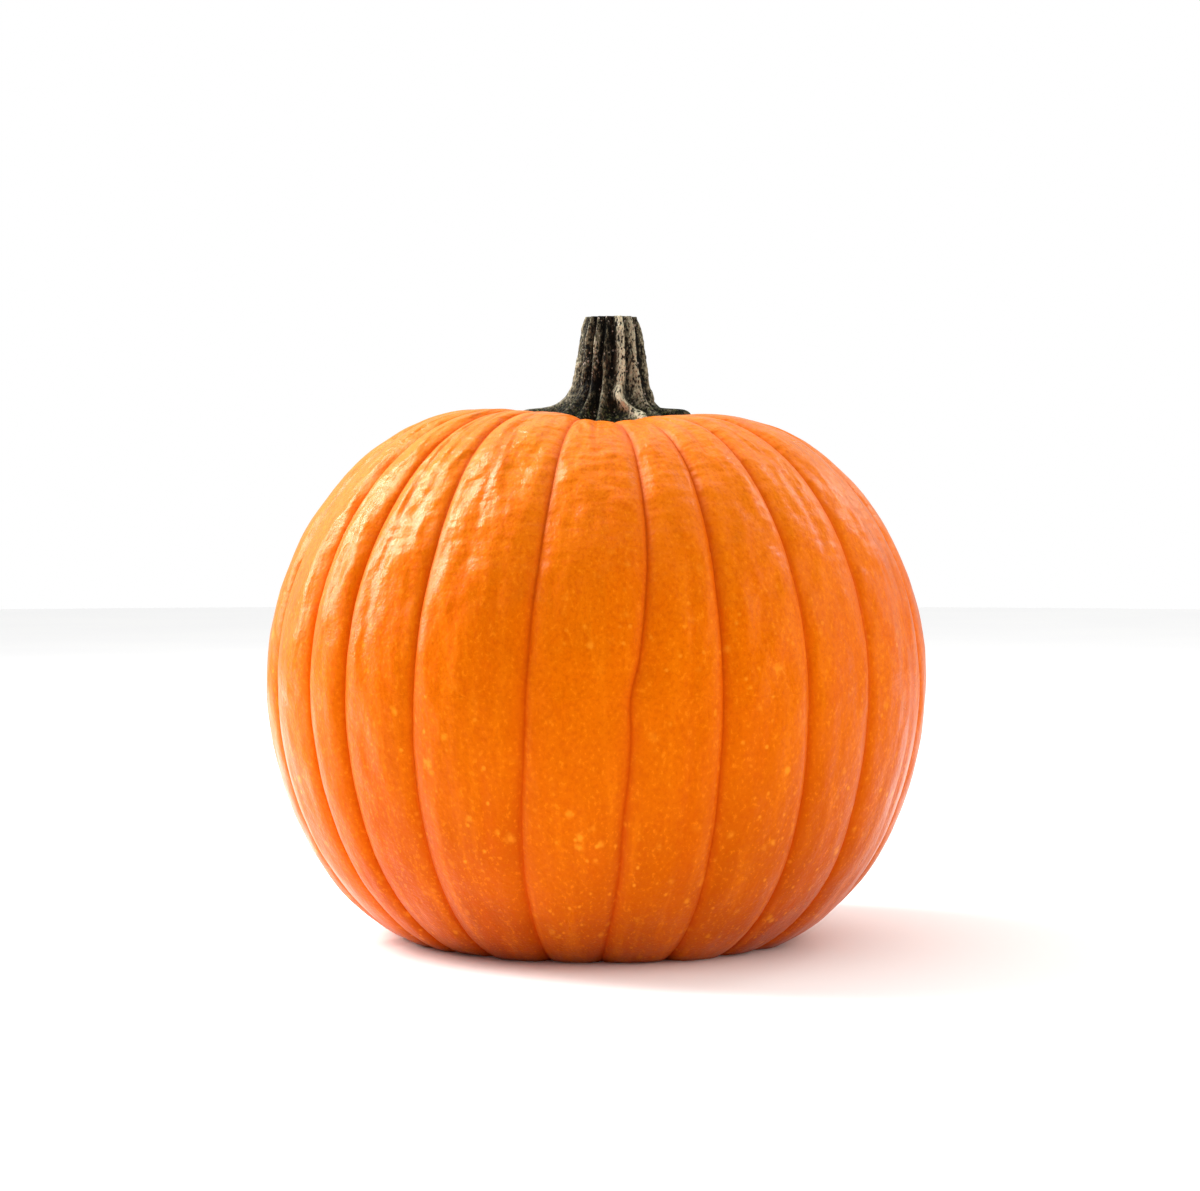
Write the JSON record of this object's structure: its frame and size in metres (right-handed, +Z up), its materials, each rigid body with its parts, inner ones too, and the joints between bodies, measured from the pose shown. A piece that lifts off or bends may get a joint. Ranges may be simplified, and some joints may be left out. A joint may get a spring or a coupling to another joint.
{
  "type": "pumpkin",
  "caption": "Whole ripe orange pumpkin, round and slightly squat, with broad ribs between narrow grooves and a short ridged woody stem; stands on its flattened blossom end.",
  "frame": {"origin": "middle of the footprint, on the surface that the pumpkin stands on", "axes": "+Z up through the stem, -Y the front, +X to the right as seen from the front"},
  "size_m": [0.2988, 0.2988, 0.2825],
  "materials": {
    "skin": "satin",
    "stem": "matte"
  },
  "bodies": {
    "root": {"fruit": "skin", "stem": "stem"}
  },
  "joints": []
}
